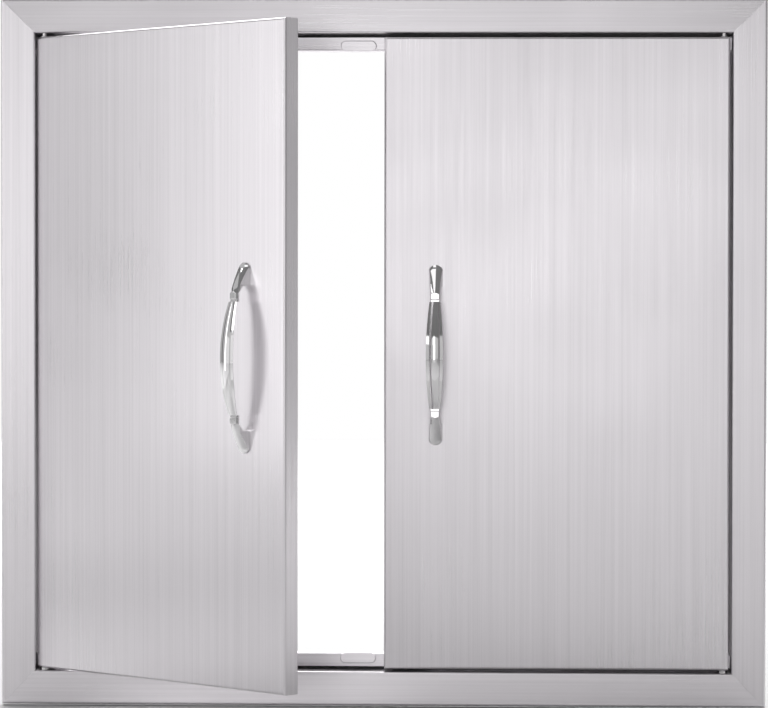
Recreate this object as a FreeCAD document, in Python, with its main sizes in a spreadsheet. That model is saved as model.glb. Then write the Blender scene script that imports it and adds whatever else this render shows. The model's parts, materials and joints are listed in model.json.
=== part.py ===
import FreeCAD, Part
import math
import os
import types
import Sketcher

# Double access door for an island cut-out. Z is up and the doors face -Y.
# The origin is the middle of the cut-out, on the wall face that the frame's rim rests on.
# Every piece is drawn with y = 0 on the front of the frame and set back by the rim's depth.

doc = FreeCAD.newDocument("access_door")
sheet = doc.addObject("Spreadsheet::Sheet", "sizes")

driving = [
    # frame: four folded sheet members, mitred at the corners
    ("frame_width", 660.4),
    ("frame_height", 609.6),
    ("face_width", 29.4),
    ("frame_sheet", 1.0),
    ("rim_depth", 10.0),
    ("wall_depth", 38.0),
    ("flange_width", 12.0),
    ("outer_bend", 2.0),
    ("inner_bend", 1.6),
    ("mitre_gap", 0.12),
    ("screw_hole_radius", 2.5),
    ("screw_hole_depth", 28.0),
    ("screw_hole_spacing", 360.0),
    # corner plates behind the mitres
    ("plate_leg", 62.0),
    ("plate_width", 19.0),
    ("plate_sheet", 1.2),
    ("plate_edge", 3.4),
    # doors
    ("door_depth", 16.0),
    ("hinge_gap", 2.4),
    ("centre_gap", 2.6),
    ("top_gap", 3.4),
    ("bottom_gap", 2.6),
    ("skin_sheet", 1.0),
    ("skin_bend", 2.0),
    ("back_bend", 1.5),
    ("skin_return", 12.0),
    ("liner_sheet", 0.8),
    ("liner_depth", 6.0),
    ("liner_bend", 1.3),
    ("liner_gap", 0.15),
    # pivots
    ("pivot_inset", 5.2),
    ("pivot_depth", 4.8),
    ("open_angle", 38.0),
    ("pin_radius", 2.0),
    ("pin_reach", 6.0),
    ("pin_head_radius", 3.0),
    ("pin_head", 1.6),
    ("collar_radius", 3.6),
    ("boss_rise", 0.6),
    ("running_gap", 0.05),
    ("seat_play", 0.1),
    ("block_length", 36.0),
    ("block_height", 5.0),
    # stop rails
    ("rail_front", 19.5),
    ("rail_inset", 2.6),
    ("rail_height", 11.4),
    ("rail_leg", 11.0),
    ("rail_bend", 1.5),
    ("rail_end_gap", 0.5),
    # magnet catches
    ("catch_length", 31.0),
    ("catch_height", 9.0),
    ("catch_reach", 2.2),
    ("catch_offset", 22.3),
    ("catch_drop", 9.9),
    ("catch_edge", 0.5),
    ("magnet_length", 17.0),
    ("magnet_height", 5.6),
    ("magnet_sheet", 1.5),
    ("strike_length", 34.0),
    ("strike_height", 10.0),
    ("strike_sheet", 1.0),
    # handles
    ("handle_inset", 44.5),
    ("handle_drop", 1.8),
    ("screw_spacing", 128.0),
    ("screw_radius", 2.0),
    ("screw_bite", 5.0),
    ("screw_head_radius", 4.0),
    ("screw_head", 2.4),
    ("grip_height", 21.1),
    ("bow_radius", 150.0),
    ("grip_half_width", 7.3),
    ("grip_side_radius", 386.0),
    ("grip_half_length", 45.7),
    ("dome_half_width", 4.7),
    ("grip_back_half_width", 3.6),
    ("grip_dome", 1.2),
    ("grip_bevel", 1.3),
    ("grip_back", 3.0),
    ("neck_length", 2.1),
    ("neck_drop", 0.5),
    ("knuckle_half_width", 3.7),
    ("knuckle_length", 5.6),
    ("knuckle_front", 14.2),
    ("knuckle_depth", 3.4),
    ("arm_step", 0.5),
    ("arm_thickness", 2.3),
    ("arm_slope", 0.553),
    ("arm_rise", 0.8),
    ("foot_start", 58.7),
    ("foot_end", 77.6),
    ("heel_thickness", 4.5),
    ("foot_half_width", 5.95),
    ("toe_length", 3.7),
    ("toe_height", 0.9),
]

for row, (alias, number) in enumerate(driving, start=1):
    sheet.set("A%d" % row, alias)
    sheet.set("B%d" % row, str(number))
    sheet.setAlias("B%d" % row, alias)
doc.recompute()


class Size:
    # A length that knows its number and the expression that gives it.
    def __init__(self, number, text):
        self.number = number
        self.text = text

    def join(self, other, sign, number):
        return Size(number, "(%s %s %s)" % (self.text, sign, other.text))

    def __add__(self, other):
        other = sized(other)
        return self.join(other, "+", self.number + other.number)

    def __sub__(self, other):
        other = sized(other)
        return self.join(other, "-", self.number - other.number)

    def __mul__(self, other):
        other = sized(other)
        return self.join(other, "*", self.number * other.number)

    def __truediv__(self, other):
        other = sized(other)
        return self.join(other, "/", self.number / other.number)

    def __radd__(self, other):
        return sized(other) + self

    def __rsub__(self, other):
        return sized(other) - self

    def __rmul__(self, other):
        return sized(other) * self

    def __neg__(self):
        return sized(-1) * self


def sized(value):
    return value if isinstance(value, Size) else Size(float(value), repr(float(value)))


def root(value):
    return Size(math.sqrt(value.number), "sqrt(%s)" % value.text)


size = types.SimpleNamespace(**{
    alias: Size(float(sheet.get(alias)), "sizes." + alias) for alias, _ in driving
})

# places that several pieces share
half_width = size.frame_width / 2
half_height = size.frame_height / 2
doorway_x = half_width - size.face_width
doorway_z = half_height - size.face_width
pivot_x = doorway_x - size.hinge_gap - size.pivot_inset
door_width = doorway_x - size.hinge_gap - size.centre_gap / 2
door_top = doorway_z - size.top_gap
door_bottom = size.bottom_gap - doorway_z
door_back = size.door_depth - size.pivot_depth
door_front = -size.pivot_depth
rail_back = size.wall_depth - size.frame_sheet
handle_x = size.pivot_inset - door_width + size.handle_inset
bore_radius = size.pin_radius + size.running_gap

pieces = []


def bind(thing, path, value):
    thing.setExpression(path, sized(value).text)


def piece(label, x=0, y=0, angle=0):
    # A sub-part's body, set back so that y = 0 in its sketches is the front of the frame.
    body = doc.addObject("PartDesign::Body", label)
    body.Label = label
    body.Placement = FreeCAD.Placement(
        FreeCAD.Vector(0, 0, 0), FreeCAD.Rotation(FreeCAD.Vector(0, 0, 1), 1))
    bind(body, "Placement.Base.x", x)
    bind(body, "Placement.Base.y", y - size.rim_depth)
    bind(body, "Placement.Rotation.Angle", angle)
    pieces.append(body)
    return body


def sketch_on(body, plane, x=0, y=0, z=0):
    # x, y and z move the sketch from the body's origin along the plane's own axes.
    sketch = body.newObject("Sketcher::SketchObject", body.Label + "_sketch")
    support = next(item for item in body.Origin.OriginFeatures if item.Role == plane)
    sketch.AttachmentSupport = [(support, "")]
    sketch.MapMode = "FlatFace"
    for axis, value in (("x", x), ("y", y), ("z", z)):
        bind(sketch, "AttachmentOffset.Base." + axis, value)
    return sketch


def constrain(sketch, kind, *where, value):
    value = sized(value)
    index = sketch.addConstraint(Sketcher.Constraint(kind, *where, value.number))
    bind(sketch, "Constraints[%d]" % index, value)


def pin_point(sketch, curve, end, x, y):
    constrain(sketch, "DistanceX", -1, 1, curve, end, value=x)
    constrain(sketch, "DistanceY", -1, 1, curve, end, value=y)


def vector(x, y):
    return FreeCAD.Vector(sized(x).number, sized(y).number, 0)


def bowed_side(sketch, start, end, rise, hand):
    # An arc that leaves the straight way by rise, to its right where hand is 1 and to its left
    # where it is -1. What comes back is the arc's own ends, in the order of start and end.
    here, there = vector(*start), vector(*end)
    way = there - here
    out = FreeCAD.Vector(way.y, -way.x, 0).normalize() * (hand * rise.number)
    curve = sketch.addGeometry(Part.Arc(here, (here + there) / 2 + out, there))
    across, up = end[0] - start[0], end[1] - start[1]
    chord = across * across + up * up
    constrain(sketch, "Radius", curve, value=(chord / 4 + rise * rise) / (rise * 2))
    return (1, 2) if sketch.getPoint(curve, 1).isEqual(here, 1e-6) else (2, 1)


def polygon(sketch, points, rises=None, hollow=False):
    # A closed outline through points given as (x, y). Its sides are straight, but for those that
    # rises names by number, which are arcs that stand out by the length given, or in if hollow.
    rises = rises or {}
    first = sketch.GeometryCount
    count = len(points)
    spots = [vector(*point) for point in points]
    area = sum(spots[i - 1].cross(spots[i]).z for i in range(count))
    hand = math.copysign(1, -area if hollow else area)
    ends = []
    for index, point in enumerate(points):
        following = points[(index + 1) % count]
        if index in rises:
            ends.append(bowed_side(sketch, point, following, rises[index], hand))
        else:
            sketch.addGeometry(Part.LineSegment(vector(*point), vector(*following)))
            ends.append((1, 2))
    for index, point in enumerate(points):
        side, after = first + index, (index + 1) % count
        sketch.addConstraint(
            Sketcher.Constraint("Coincident", side, ends[index][1], first + after, ends[after][0]))
        pin_point(sketch, side, ends[index][0], *point)


def circle(sketch, x, y, radius):
    curve = sketch.addGeometry(
        Part.Circle(vector(x, y), FreeCAD.Vector(0, 0, 1), sized(radius).number))
    pin_point(sketch, curve, 3, x, y)
    constrain(sketch, "Radius", curve, value=radius)


def arc(centre, radius, start, sweep):
    curve = Part.Circle(centre, FreeCAD.Vector(0, 0, 1), radius)
    return Part.ArcOfCircle(curve, start, start + sweep)


def folded_outline(sketch, corners):
    # A closed outline of square turns, given as (x, y, bend radius or 0), as a folded sheet has.
    first = sketch.GeometryCount
    count = len(corners)
    spots = [vector(x, y) for x, y, _ in corners]
    radii = [sized(radius) for _, _, radius in corners]
    ways = [(spots[(i + 1) % count] - spots[i]).normalize() for i in range(count)]
    for i in range(count):
        start = spots[i] + ways[i] * radii[i].number
        end = spots[(i + 1) % count] - ways[i] * radii[(i + 1) % count].number
        sketch.addGeometry(Part.LineSegment(start, end))
    for i, (x, y, _) in enumerate(corners):
        line, before = first + i, first + (i - 1) % count
        level = abs(ways[i].x) > abs(ways[i].y)
        sketch.addConstraint(Sketcher.Constraint("Horizontal" if level else "Vertical", line))
        if level:
            constrain(sketch, "DistanceY", -1, 1, line, 1, value=y)
        else:
            constrain(sketch, "DistanceX", -1, 1, line, 1, value=x)
        if radii[i].number == 0:
            sketch.addConstraint(Sketcher.Constraint("Coincident", before, 2, line, 1))
            continue
        radius = radii[i].number
        centre = spots[i] + (ways[i] - ways[i - 1]) * radius
        left_turn = ways[i - 1].cross(ways[i]).z > 0
        start_way = -ways[i] if left_turn else ways[i - 1]
        start = math.atan2(start_way.y, start_way.x)
        curve = sketch.addGeometry(arc(centre, radius, start, math.pi / 2))
        near, away = (1, 2) if left_turn else (2, 1)
        sketch.addConstraint(Sketcher.Constraint("Tangent", before, 2, curve, near))
        sketch.addConstraint(Sketcher.Constraint("Tangent", curve, away, line, 1))
        constrain(sketch, "Radius", curve, value=radii[i])


def stadium(sketch, x, y, length, height):
    # Two straight sides and two round ends, centred on (x, y).
    radius = height / 2
    reach = length / 2 - radius
    right, left = sized(x + reach), sized(x - reach)
    top, low = sized(y + radius), sized(y - radius)
    first = sketch.GeometryCount
    sketch.addGeometry([
        Part.LineSegment(vector(left, top), vector(right, top)),
        arc(vector(right, y), radius.number, -math.pi / 2, math.pi),
        Part.LineSegment(vector(right, low), vector(left, low)),
        arc(vector(left, y), radius.number, math.pi / 2, math.pi),
    ])
    upper, right_end, lower, left_end = range(first, first + 4)
    for one, its_end, other, other_end in (
            (upper, 2, right_end, 2), (right_end, 1, lower, 1),
            (lower, 2, left_end, 2), (left_end, 1, upper, 1)):
        sketch.addConstraint(Sketcher.Constraint("Tangent", one, its_end, other, other_end))
    for end, x_centre in ((right_end, right), (left_end, left)):
        pin_point(sketch, end, 3, x_centre, y)
        constrain(sketch, "Radius", end, value=radius)


def block(sketch, x, y, length, height):
    # A rectangle centred on (x, y).
    polygon(sketch, [(x + i * length / 2, y + j * height / 2)
                     for i, j in ((1, 1), (-1, 1), (-1, -1), (1, -1))])


def volume(body):
    doc.recompute()
    return body.Shape.Volume if body.Tip else 0.0


def finish_feature(body, feature, before, grows):
    # A feature that points the wrong way changes nothing, so the volume is compared.
    after = volume(body)
    if (after > before) != grows or abs(after - before) < 1e-6:
        raise RuntimeError("%s: %s changed the volume from %.3f to %.3f"
                           % (body.Label, feature.Name, before, after))
    return feature


def pad(body, sketch, length, backwards=False, both_ways=False):
    before = volume(body)
    feature = body.newObject("PartDesign::Pad", body.Label + "_pad")
    feature.Profile = sketch
    bind(feature, "Length", length)
    feature.Reversed = backwards
    feature.SideType = "Symmetric" if both_ways else "One side"
    return finish_feature(body, feature, before, True)


def pocket(body, sketch, length=None, forwards=False, both_ways=False):
    before = volume(body)
    feature = body.newObject("PartDesign::Pocket", body.Label + "_pocket")
    feature.Profile = sketch
    feature.Reversed = forwards
    feature.SideType = "Symmetric" if both_ways else "One side"
    if length is None:
        feature.Type = "ThroughAll"
    else:
        bind(feature, "Length", length)
    return finish_feature(body, feature, before, False)


def revolve(body, sketch):
    before = volume(body)
    feature = body.newObject("PartDesign::Revolution", body.Label + "_turned")
    feature.Profile = sketch
    feature.ReferenceAxis = (sketch, ["V_Axis"])
    feature.Angle = 360
    return finish_feature(body, feature, before, True)


def dress_edges(body, kind, path, amount, chosen):
    # chosen says for an edge's box whether that edge is dressed.
    base = body.Tip
    names = ["Edge%d" % (i + 1) for i, edge in enumerate(base.Shape.Edges)
             if chosen(edge.BoundBox)]
    feature = body.newObject("PartDesign::" + kind, body.Label + "_edges")
    feature.Base = (base, names)
    bind(feature, path, amount)
    doc.recompute()


def round_edges(body, radius, chosen):
    dress_edges(body, "Fillet", "Radius", radius, chosen)


def bevel_edges(body, width, chosen):
    dress_edges(body, "Chamfer", "Size", width, chosen)


def near(one, other):
    return abs(one - sized(other).number) < 1e-4


def lies_at_depth(depth):
    return lambda box: near(box.YMin, depth) and near(box.YMax, depth)


def frame_section(sketch, sign, outer, inner, swap):
    # The fold of one member: rim, face, inner wall and rear flange. swap puts depth second.
    sheet_in = size.frame_sheet
    corners = [
        (size.rim_depth, outer, 0),
        (0, outer, size.outer_bend),
        (0, inner, size.inner_bend),
        (rail_back, inner, size.inner_bend - sheet_in),
        (rail_back, inner - size.flange_width, 0),
        (size.wall_depth, inner - size.flange_width, 0),
        (size.wall_depth, inner + sheet_in, size.inner_bend),
        (sheet_in, inner + sheet_in, size.inner_bend - sheet_in),
        (sheet_in, outer - sheet_in, size.outer_bend - sheet_in),
        (size.rim_depth, outer - sheet_in, 0),
    ]
    if swap:
        folded_outline(sketch, [(sign * across, depth, r) for depth, across, r in corners])
    else:
        folded_outline(sketch, [(depth, sign * across, r) for depth, across, r in corners])


def mitre(body, sign, level):
    # Cuts both ends of a member at 45 degrees, half the mitre gap short of the joint.
    cut = size.face_width + size.flange_width * 2
    slack = size.mitre_gap / 2 * math.sqrt(2)
    along, across = (half_width, half_height) if level else (half_height, half_width)
    sketch = sketch_on(body, "XZ_Plane")
    for end in (-1, 1):
        points = [
            (along - slack + cut, across + cut),
            (along + cut * 2, across + cut),
            (along + cut * 2, across - cut),
            (along - slack - cut, across - cut),
        ]
        turned = [(end * a, sign * b) if level else (sign * b, end * a) for a, b in points]
        polygon(sketch, turned)
    pocket(body, sketch, both_ways=True)


def level_member(label, sign):
    body = piece(label)
    sketch = sketch_on(body, "YZ_Plane")
    frame_section(sketch, sign, half_height, doorway_z, False)
    pad(body, sketch, size.frame_width, both_ways=True)
    mitre(body, sign, True)
    if sign > 0:
        holes = sketch_on(body, "XY_Plane", z=doorway_z)
        for side in (-1, 1):
            circle(holes, side * pivot_x, size.pivot_depth, bore_radius)
        pocket(body, holes, size.frame_sheet, forwards=True)


def upright_member(label, sign):
    body = piece(label)
    sketch = sketch_on(body, "XY_Plane")
    frame_section(sketch, sign, half_width, doorway_x, True)
    pad(body, sketch, size.frame_height, both_ways=True)
    mitre(body, sign, False)
    holes = sketch_on(body, "YZ_Plane")
    for end in (-1, 1):
        circle(holes, size.screw_hole_depth, end * size.screw_hole_spacing / 2,
               size.screw_hole_radius)
    pocket(body, holes, both_ways=True)


def corner_plate(label, side, tier):
    # An L of plain plate, welded to the backs of the two faces that meet at the mitre.
    body = piece(label)
    sketch = sketch_on(body, "XZ_Plane", z=-size.frame_sheet)
    edge_x, edge_z = half_width - size.plate_edge, half_height - size.plate_edge
    points = [
        (edge_x, edge_z),
        (edge_x - size.plate_leg, edge_z),
        (edge_x - size.plate_leg, edge_z - size.plate_width),
        (edge_x - size.plate_width, edge_z - size.plate_width),
        (edge_x - size.plate_width, edge_z - size.plate_leg),
        (edge_x, edge_z - size.plate_leg),
    ]
    polygon(sketch, [(side * x, tier * z) for x, z in points])
    pad(body, sketch, size.plate_sheet, backwards=True)


def stop_rail(label, tier):
    # A channel behind the doorway's edge: front lip, web and rear leg on the frame's flange.
    body = piece(label)
    sketch = sketch_on(body, "YZ_Plane")
    metal = size.frame_sheet
    lip_top = doorway_z - size.rail_inset
    low = lip_top - size.rail_height
    inside = size.rail_bend - metal
    corners = [
        (size.rail_front, lip_top, 0),
        (size.rail_front, low, size.rail_bend),
        (rail_back, low, size.rail_bend),
        (rail_back, low + size.rail_leg, 0),
        (rail_back - metal, low + size.rail_leg, 0),
        (rail_back - metal, low + metal, inside),
        (size.rail_front + metal, low + metal, inside),
        (size.rail_front + metal, lip_top, 0),
    ]
    folded_outline(sketch, [(y, tier * z, r) for y, z, r in corners])
    pad(body, sketch, (doorway_x - size.rail_end_gap) * 2, both_ways=True)


def catch_place(side, tier):
    return side * size.catch_offset, tier * (doorway_z - size.catch_drop)


def catch_cover(label, side, tier):
    # A stadium-shaped cover on the rail's lip, hollowed at the back for a bar magnet.
    body = piece(label)
    front = size.rail_front - size.catch_reach
    sketch = sketch_on(body, "XZ_Plane", z=-front)
    stadium(sketch, *catch_place(side, tier), size.catch_length, size.catch_height)
    pad(body, sketch, size.catch_reach, backwards=True)
    bevel_edges(body, size.catch_edge, lies_at_depth(front))
    hollow = sketch_on(body, "XZ_Plane", z=-size.rail_front)
    block(hollow, *catch_place(side, tier), size.magnet_length + size.liner_gap,
          size.magnet_height + size.liner_gap)
    pocket(body, hollow, size.magnet_sheet + size.running_gap, forwards=True)


def magnet(label, side, tier):
    body = piece(label)
    sketch = sketch_on(body, "XZ_Plane", z=-size.rail_front)
    block(sketch, *catch_place(side, tier), size.magnet_length, size.magnet_height)
    pad(body, sketch, size.magnet_sheet)


def pivot_pin_top(label, side):
    # A headed pin that drops through the frame's upper wall into the door's hinge block.
    body = piece(label, side * pivot_x, size.pivot_depth)
    seat = doorway_z + size.frame_sheet
    tip = door_top - size.pin_reach
    sketch = sketch_on(body, "XZ_Plane")
    polygon(sketch, [(0, tip), (size.pin_radius, tip), (size.pin_radius, seat),
                     (size.pin_head_radius, seat), (size.pin_head_radius, seat + size.pin_head),
                     (0, seat + size.pin_head)])
    revolve(body, sketch)


def pivot_pin_bottom(label, side):
    # A stud welded on the frame's lower wall, with a collar that carries the door.
    body = piece(label, side * pivot_x, size.pivot_depth)
    shelf = door_bottom - size.boss_rise - size.seat_play
    tip = door_bottom + size.pin_reach
    sketch = sketch_on(body, "XZ_Plane")
    polygon(sketch, [(0, -doorway_z), (size.collar_radius, -doorway_z), (size.collar_radius, shelf),
                     (size.pin_radius, shelf), (size.pin_radius, tip), (0, tip)])
    revolve(body, sketch)


def door_outline(sketch, side, inset_x, inset_z):
    hinge_edge = side * (size.pivot_inset - inset_x)
    free_edge = side * (size.pivot_inset - door_width + inset_x)
    folded_outline(sketch, [
        (hinge_edge, door_bottom + inset_z, 0), (hinge_edge, door_top - inset_z, 0),
        (free_edge, door_top - inset_z, 0), (free_edge, door_bottom + inset_z, 0),
    ])


def handle_holes(body, side, start, length, radius, forwards=False):
    sketch = sketch_on(body, "XZ_Plane", z=-start)
    for end in (-1, 1):
        circle(sketch, side * handle_x, end * size.screw_spacing / 2 - size.handle_drop, radius)
    pocket(body, sketch, length, forwards)


def door_skin(label, side, place):
    # The outer pan: front, four folded sides and a return round the back.
    body = piece(label, *place)
    metal = size.skin_sheet
    outline = sketch_on(body, "XZ_Plane", z=-door_front)
    door_outline(outline, side, sized(0), sized(0))
    pad(body, outline, size.door_depth, backwards=True)
    round_edges(body, size.skin_bend, lies_at_depth(door_front))
    round_edges(body, size.back_bend, lies_at_depth(door_back))
    inside = sketch_on(body, "XZ_Plane", z=-(door_front + metal))
    door_outline(inside, side, metal, metal)
    pocket(body, inside, size.door_depth - metal * 2)
    round_edges(body, size.skin_bend - metal, lies_at_depth(door_front + metal))
    opening = sketch_on(body, "XZ_Plane", z=-(door_back - metal))
    door_outline(opening, side, size.skin_return, size.skin_return)
    pocket(body, opening, metal)
    pivot_holes = sketch_on(body, "XY_Plane", z=door_bottom)
    circle(pivot_holes, 0, 0, size.collar_radius + size.running_gap)
    pocket(body, pivot_holes, door_top - door_bottom, forwards=True)
    handle_holes(body, side, door_front, metal, size.screw_radius + size.liner_gap)


def door_liner(label, side, place):
    # The inner skin: a shallow tray held under the returns of the outer pan.
    body = piece(label, *place)
    back = door_back - size.skin_sheet
    inset = size.skin_sheet + size.liner_gap
    outline = sketch_on(body, "XZ_Plane", z=-(back - size.liner_depth))
    door_outline(outline, side, inset, inset)
    pad(body, outline, size.liner_depth, backwards=True)
    round_edges(body, size.liner_bend, lies_at_depth(back))
    inside = sketch_on(body, "XZ_Plane", z=-(back - size.liner_depth))
    door_outline(inside, side, inset + size.liner_sheet, inset + size.liner_sheet)
    pocket(body, inside, size.liner_depth - size.liner_sheet)
    round_edges(body, size.liner_bend - size.liner_sheet, lies_at_depth(back - size.liner_sheet))
    handle_holes(body, side, back - size.liner_sheet, size.liner_sheet,
                 size.screw_radius + size.liner_gap)


def hinge_block(label, side, place, tier):
    # A bar welded inside the pan, clear of its bends. Its bored boss stands out through the edge.
    body = piece(label, *place)
    face = door_top if tier > 0 else door_bottom
    seat = face - tier * size.skin_sheet
    bar = sketch_on(body, "XY_Plane", z=seat)
    hinge_end = size.pivot_inset - size.skin_sheet - size.liner_gap
    front = door_front + size.skin_bend
    back = door_back - size.skin_sheet - size.liner_depth - size.liner_gap
    block_end = hinge_end - size.block_length
    polygon(bar, [(side * x, y) for x, y in (
        (hinge_end, front), (block_end, front), (block_end, back), (hinge_end, back))])
    pad(body, bar, size.block_height, backwards=tier > 0)
    boss = sketch_on(body, "XY_Plane", z=seat)
    circle(boss, 0, 0, size.collar_radius)
    pad(body, boss, size.skin_sheet + size.boss_rise, backwards=tier < 0)
    bore = sketch_on(body, "XY_Plane", z=seat)
    circle(bore, 0, 0, bore_radius)
    pocket(body, bore, both_ways=True)


def bow_height(along):
    # Height of the grip's widest line above the door, on an arc along the handle.
    reach = size.bow_radius * size.bow_radius - along * along
    return size.grip_height - size.bow_radius + root(reach)


def grip_half(along):
    reach = size.grip_side_radius * size.grip_side_radius - along * along
    return size.grip_half_width - size.grip_side_radius + root(reach)


def grip_section(body, side, along):
    # A domed front between two bevels, and a narrower back, thinner where the leaf is narrower:
    # x is along the door's width and y is minus the height above its face.
    sketch = sketch_on(body, "XY_Plane", x=side * handle_x, y=door_front,
                       z=along - size.handle_drop)
    middle, half = bow_height(along), grip_half(along)
    share = half / size.grip_half_width
    shoulder, back_half = size.dome_half_width * share, size.grip_back_half_width * share
    front = middle + size.grip_bevel * share
    back = middle - size.grip_back * share
    polygon(sketch, [(-shoulder, -front), (-half, -middle), (-back_half, -back),
                     (back_half, -back), (half, -middle), (shoulder, -front)],
            {5: size.grip_dome * share})
    return sketch


def grip(body, side):
    # A leaf on a bow, drawn as straight stretches between sections that are alike in shape. They
    # get shorter towards the ends, where the leaf narrows faster.
    stretches = 12
    turns = [math.pi * (step / stretches - 0.5) for step in range(stretches + 1)]
    sections = [grip_section(body, side, size.grip_half_length * math.sin(turn)) for turn in turns]
    before = volume(body)
    feature = body.newObject("PartDesign::AdditiveLoft", body.Label + "_grip")
    feature.Profile = sections[0]
    feature.Sections = sections[1:]
    feature.Ruled = True
    finish_feature(body, feature, before, True)


def handle_ends(body, side):
    # At each end of the grip a neck, a knuckle and an arm that thickens on its way down to a
    # wedge foot. The outline seen from the side is padded, then its flanks are drafted and its
    # round toe is cut.
    neck_start = size.grip_half_length - size.running_gap
    knuckle_start = size.grip_half_length + size.neck_length
    knuckle_end = knuckle_start + size.knuckle_length
    toe_start = size.foot_end - size.toe_length
    front, back = size.knuckle_front, size.knuckle_front - size.knuckle_depth
    neck_front = front - size.neck_drop
    arm_top = front - size.arm_step
    heel_height = arm_top - size.arm_slope * (size.foot_start - knuckle_end)
    profile = [
        (neck_start, neck_front), (knuckle_start, neck_front),
        (knuckle_start, front), (knuckle_end, front),
        (knuckle_end, arm_top),
        (toe_start, arm_top - size.arm_slope * (toe_start - knuckle_end)),
        (size.foot_end, size.toe_height), (size.foot_end, sized(0)), (size.foot_start, sized(0)),
        (size.foot_start, heel_height - size.heel_thickness),
        (knuckle_end, arm_top - size.arm_thickness),
        (knuckle_end, back), (neck_start, back),
    ]
    arm_side = 4
    half, wide, beyond = size.foot_half_width, size.foot_half_width * 2, size.foot_end * 2
    round_toe = [(half, toe_start), (wide, toe_start), (wide, beyond),
                 (-wide, beyond), (-wide, toe_start), (-half, toe_start)]
    toe_side = 5
    seen_from_side = sketch_on(body, "YZ_Plane", x=door_front, y=-size.handle_drop,
                               z=side * handle_x)
    seen_from_end = sketch_on(body, "XY_Plane", x=side * handle_x, y=door_front)
    seen_from_front = sketch_on(body, "XZ_Plane", x=side * handle_x, y=-size.handle_drop)
    for way in (-1, 1):
        polygon(seen_from_side, [(-height, way * along) for along, height in profile],
                {arm_side: size.arm_rise})
        polygon(seen_from_end, [(way * half, sized(0)), (way * size.knuckle_half_width, -front),
                                (way * wide, -front), (way * wide, sized(0))])
        polygon(seen_from_front, [(across, way * along) for across, along in round_toe],
                {toe_side: size.toe_length}, hollow=True)
    pad(body, seen_from_side, half * 2, both_ways=True)
    pocket(body, seen_from_end, both_ways=True)
    pocket(body, seen_from_front, both_ways=True)


def handle(label, side, place):
    # A cast bow: a leaf-shaped grip between two ends whose feet are tapped for the screws.
    body = piece(label, *place)
    handle_ends(body, side)
    grip(body, side)
    handle_holes(body, side, door_front, size.screw_bite + size.running_gap,
                 size.screw_radius + size.running_gap, forwards=True)


def handle_screws(label, side, place):
    # Two hexagon-headed screws, from inside the door into the feet.
    body = piece(label, *place)
    seat = door_back - size.skin_sheet
    shank = sketch_on(body, "XZ_Plane", z=size.screw_bite - door_front)
    head = sketch_on(body, "XZ_Plane", z=-seat)
    for end in (-1, 1):
        z = end * size.screw_spacing / 2 - size.handle_drop
        circle(shank, side * handle_x, z, size.screw_radius)
        corners = [math.radians(60 * corner) for corner in range(6)]
        polygon(head, [(side * handle_x + size.screw_head_radius * math.cos(turn),
                        z + size.screw_head_radius * math.sin(turn)) for turn in corners])
    pad(body, shank, seat - door_front + size.screw_bite, backwards=True)
    pad(body, head, size.screw_head, backwards=True)


def strike_plates(label, side, place):
    # Thin plates welded to the door's back, opposite the catches when the door is shut.
    body = piece(label, *place)
    sketch = sketch_on(body, "XZ_Plane", z=-door_back)
    for tier in (-1, 1):
        block(sketch, side * (size.catch_offset - pivot_x),
              tier * (doorway_z - size.catch_drop), size.strike_length, size.strike_height)
    pad(body, sketch, size.strike_sheet, backwards=True)


def door(name, side, angle):
    place = (side * pivot_x, size.pivot_depth, angle)
    door_skin(name + "_door_skin", side, place)
    door_liner(name + "_door_liner", side, place)
    for word, tier in (("top", 1), ("bottom", -1)):
        hinge_block("%s_hinge_block_%s" % (name, word), side, place, tier)
    handle(name + "_handle", side, place)
    handle_screws(name + "_handle_screws", side, place)
    strike_plates(name + "_strike_plates", side, place)


level_member("frame_top", 1)
level_member("frame_bottom", -1)
upright_member("frame_left", -1)
upright_member("frame_right", 1)
for tier_name, tier_sign in (("top", 1), ("bottom", -1)):
    stop_rail("stop_rail_" + tier_name, tier_sign)
    for side_name, side_sign in (("left", -1), ("right", 1)):
        corner = "%s_%s" % (tier_name, side_name)
        corner_plate("corner_plate_" + corner, side_sign, tier_sign)
        catch_cover("catch_" + corner, side_sign, tier_sign)
        magnet("magnet_" + corner, side_sign, tier_sign)
pivot_pin_top("pivot_pin_top_left", -1)
pivot_pin_top("pivot_pin_top_right", 1)
pivot_pin_bottom("pivot_pin_bottom_left", -1)
pivot_pin_bottom("pivot_pin_bottom_right", 1)
door("left", -1, -size.open_angle)
door("right", 1, 0)

doc.recompute()
for item in doc.Objects:
    if "Invalid" in item.State or "Error" in item.State:
        raise RuntimeError("%s is %s" % (item.Name, item.State))
for body in pieces:
    if body.Shape.isNull() or not body.Shape.isValid():
        raise RuntimeError("%s has no valid shape" % body.Label)

os.makedirs("parts", exist_ok=True)
for body in pieces:
    body.Shape.exportStep(os.path.join("parts", body.Label + ".step"))
print("%d pieces written" % len(pieces))
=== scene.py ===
import bpy
import bmesh
import json
import math
from mathutils import Matrix, Vector


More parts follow.
